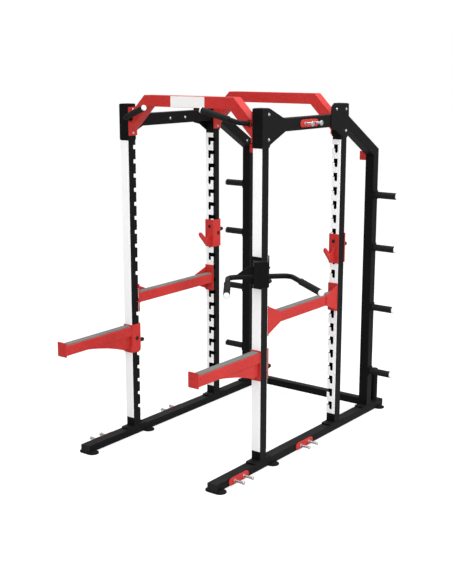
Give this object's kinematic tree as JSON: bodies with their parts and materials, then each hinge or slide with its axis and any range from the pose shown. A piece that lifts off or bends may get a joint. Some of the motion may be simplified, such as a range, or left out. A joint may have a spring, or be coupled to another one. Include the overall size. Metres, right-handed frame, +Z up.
{
  "type": "power rack",
  "caption": "Power rack with slotted uprights, arched cross beams, lift-off J-cups, safety bars, spotter arms, a dip station and plate storage.",
  "frame": {"origin": "on the floor at the middle of the cage, midway between the front and rear uprights and on its plane of symmetry", "axes": "+Z up; -Y towards the front, where the pull-up grips and spotter arms are; +Y towards the plate storage; +X to the side that carries the dip station"},
  "size_m": [1.9985, 2.365, 2.477],
  "materials": {
    "black_powder_coat": "satin",
    "red_powder_coat": "satin",
    "white_plastic": "satin",
    "grey_wear_pad": "matte",
    "black_rubber": "matte",
    "black_plastic": "satin",
    "chrome_pegs": "polished",
    "zinc_hardware": "satin"
  },
  "bodies": {
    "frame": {"band_peg_plates": "red_powder_coat", "band_pegs": "chrome_pegs", "barbell_holders": "black_powder_coat", "base_bolts": "zinc_hardware", "base_flanges": "black_powder_coat", "blank_nameplate": "white_plastic", "frame_bolts": "zinc_hardware", "front_arch": "red_powder_coat", "front_top_gussets": "black_powder_coat", "front_upright_face_liners": "white_plastic", "front_upright_slot_liners": "white_plastic", "pull_up_grip_caps": "white_plastic", "pull_up_grip_sleeves": "black_rubber", "pull_up_grips": "black_powder_coat", "rear_arch": "red_powder_coat", "rear_base_crossmember": "black_powder_coat", "rear_top_gussets": "black_powder_coat", "rear_upright_slot_liners": "white_plastic", "rubber_feet": "black_rubber", "runner_end_caps": "black_plastic", "runner_left": "black_powder_coat", "runner_right": "black_powder_coat", "storage_upright_left": "black_powder_coat", "storage_upright_right": "black_powder_coat", "strap_hook_tabs": "red_powder_coat", "top_side_beams": "black_powder_coat", "upright_front_left": "black_powder_coat", "upright_front_right": "black_powder_coat", "upright_rear_left": "black_powder_coat", "upright_rear_right": "black_powder_coat", "upright_top_plugs": "black_plastic", "weight_horn_bolts": "zinc_hardware", "weight_horn_caps": "white_plastic", "weight_horn_sleeves": "black_plastic", "weight_horn_spindles": "black_powder_coat"},
    "j_cup_right": {"j_cup_right": "red_powder_coat", "j_cup_right_hardware": "zinc_hardware"},
    "j_cup_right_lock": {"j_cup_right_lock_pin": "black_plastic"},
    "spotter_arm_right": {"spotter_arm_right": "red_powder_coat", "spotter_arm_right_pad": "grey_wear_pad", "spotter_arm_right_hardware": "zinc_hardware"},
    "spotter_arm_right_lock": {"spotter_arm_right_lock_pin": "black_plastic"},
    "safety_bar_right": {"safety_bar_right": "red_powder_coat", "safety_bar_right_pad": "grey_wear_pad", "safety_bar_right_studs": "zinc_hardware"},
    "j_cup_left": {"j_cup_left": "red_powder_coat", "j_cup_left_hardware": "zinc_hardware"},
    "j_cup_left_lock": {"j_cup_left_lock_pin": "black_plastic"},
    "spotter_arm_left": {"spotter_arm_left": "red_powder_coat", "spotter_arm_left_pad": "grey_wear_pad", "spotter_arm_left_hardware": "zinc_hardware"},
    "spotter_arm_left_lock": {"spotter_arm_left_lock_pin": "black_plastic"},
    "safety_bar_left": {"safety_bar_left": "red_powder_coat", "safety_bar_left_pad": "grey_wear_pad", "safety_bar_left_studs": "zinc_hardware"},
    "dip_station": {"dip_station": "black_powder_coat", "dip_grip_sleeves": "black_rubber", "dip_grip_caps": "white_plastic", "dip_station_hardware": "zinc_hardware"},
    "dip_station_lock": {"dip_station_lock_pin": "black_plastic"}
  },
  "joints": [
    {"name": "j_cup_right_lift", "type": "slide", "parent": "frame", "child": "j_cup_right", "axis": [0, 0, 1], "range_m": [0, 0.02]},
    {"name": "j_cup_right_pin_pull", "type": "slide", "parent": "j_cup_right", "child": "j_cup_right_lock", "axis": [0, 1, 0], "range_m": [0, 0.012], "stiffness_N_per_m": 800, "springref_m": -0.005},
    {"name": "spotter_arm_right_lift", "type": "slide", "parent": "frame", "child": "spotter_arm_right", "axis": [0, 0, 1], "range_m": [0, 0.02]},
    {"name": "spotter_arm_right_pin_pull", "type": "slide", "parent": "spotter_arm_right", "child": "spotter_arm_right_lock", "axis": [0, 1, 0], "range_m": [0, 0.012], "stiffness_N_per_m": 800, "springref_m": -0.005},
    {"name": "safety_bar_right_lift", "type": "slide", "parent": "frame", "child": "safety_bar_right", "axis": [0, 0, 1], "range_m": [0, 0.035]},
    {"name": "j_cup_left_lift", "type": "slide", "parent": "frame", "child": "j_cup_left", "axis": [0, 0, 1], "range_m": [0, 0.02]},
    {"name": "j_cup_left_pin_pull", "type": "slide", "parent": "j_cup_left", "child": "j_cup_left_lock", "axis": [0, 1, 0], "range_m": [0, 0.012], "stiffness_N_per_m": 800, "springref_m": -0.005},
    {"name": "spotter_arm_left_lift", "type": "slide", "parent": "frame", "child": "spotter_arm_left", "axis": [0, 0, 1], "range_m": [0, 0.02]},
    {"name": "spotter_arm_left_pin_pull", "type": "slide", "parent": "spotter_arm_left", "child": "spotter_arm_left_lock", "axis": [0, 1, 0], "range_m": [0, 0.012], "stiffness_N_per_m": 800, "springref_m": -0.005},
    {"name": "safety_bar_left_lift", "type": "slide", "parent": "frame", "child": "safety_bar_left", "axis": [0, 0, 1], "range_m": [0, 0.035]},
    {"name": "dip_station_lift", "type": "slide", "parent": "frame", "child": "dip_station", "axis": [0, 0, 1], "range_m": [0, 0.02]},
    {"name": "dip_station_pin_pull", "type": "slide", "parent": "dip_station", "child": "dip_station_lock", "axis": [0, 1, 0], "range_m": [0, 0.012], "stiffness_N_per_m": 800, "springref_m": -0.005}
  ]
}
